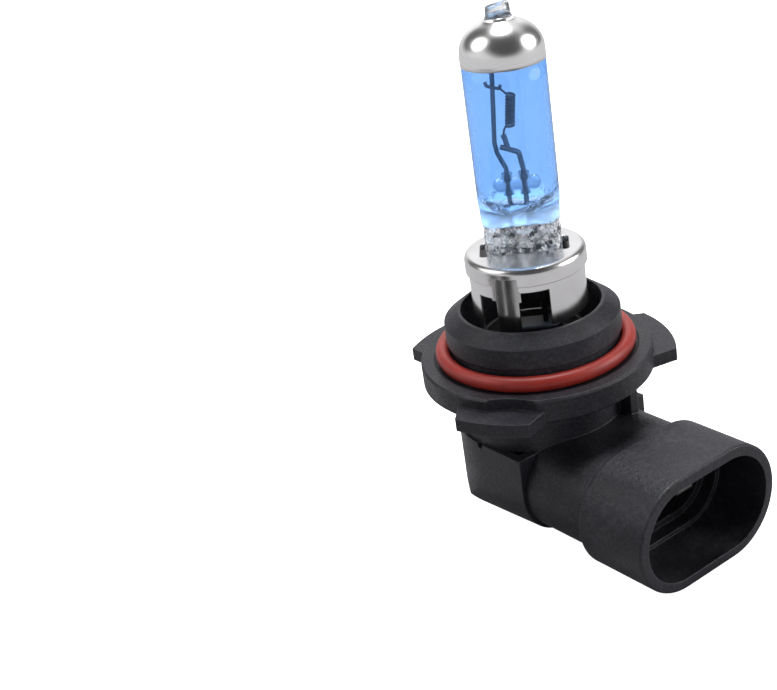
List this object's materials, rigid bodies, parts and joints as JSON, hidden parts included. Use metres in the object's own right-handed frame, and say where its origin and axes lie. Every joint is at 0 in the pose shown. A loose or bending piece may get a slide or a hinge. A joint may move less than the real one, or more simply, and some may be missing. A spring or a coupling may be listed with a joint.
{
  "type": "headlight bulb",
  "caption": "Right-angle halogen capsule bulb: blue glass tube with a silvered tip in a pressed metal collar, on a round sealed plastic base with a side connector.",
  "frame": {"origin": "on the bulb's axis, in the front face of the mounting flange that seats on the lamp's reflector or housing", "axes": "+Z along the bulb's axis towards the glass tip, +X the way the side connector points, +Y completes a right-handed frame"},
  "size_m": [0.0449, 0.0343, 0.0667],
  "materials": {
    "black_plastic": "fine mould grain, charcoal black",
    "silicone": "matte red-orange silicone",
    "dark_silicone": "matte dark silicone",
    "molybdenum": "drawn wire",
    "tungsten": "coiled wire",
    "clear_glass": "clear, polished",
    "blue_film": "thin light blue filter film",
    "silvering": "soft mirror",
    "nickel_sheet": "bright pressed nickel-plated sheet",
    "carrier_plastic": "dark moulded plastic",
    "tinned_brass": "tin plated"
  },
  "bodies": {
    "root": {"base_housing": "black_plastic", "rear_cover": "black_plastic", "o_ring": "silicone", "long_support_wire": "molybdenum", "lower_lead": "molybdenum", "hook_wire": "molybdenum", "leg_sleeve": "molybdenum", "filament": "tungsten", "glass_bridge": "clear_glass", "outer_lead_left": "molybdenum", "outer_lead_right": "molybdenum", "foil_left": "molybdenum", "foil_right": "molybdenum", "glass_envelope": "clear_glass", "blue_coating": "blue_film", "mirror_cap": "silvering", "collar_cap": "nickel_sheet", "collar_sleeve": "nickel_sheet", "pinch_clip": "nickel_sheet", "mount_ring": "nickel_sheet", "lead_insulator": "carrier_plastic", "lead_seal": "dark_silicone", "terminal_left": "tinned_brass", "terminal_right": "tinned_brass", "weld_clamp_left": "nickel_sheet", "weld_clamp_right": "nickel_sheet", "terminal_carrier": "carrier_plastic"}
  },
  "joints": []
}
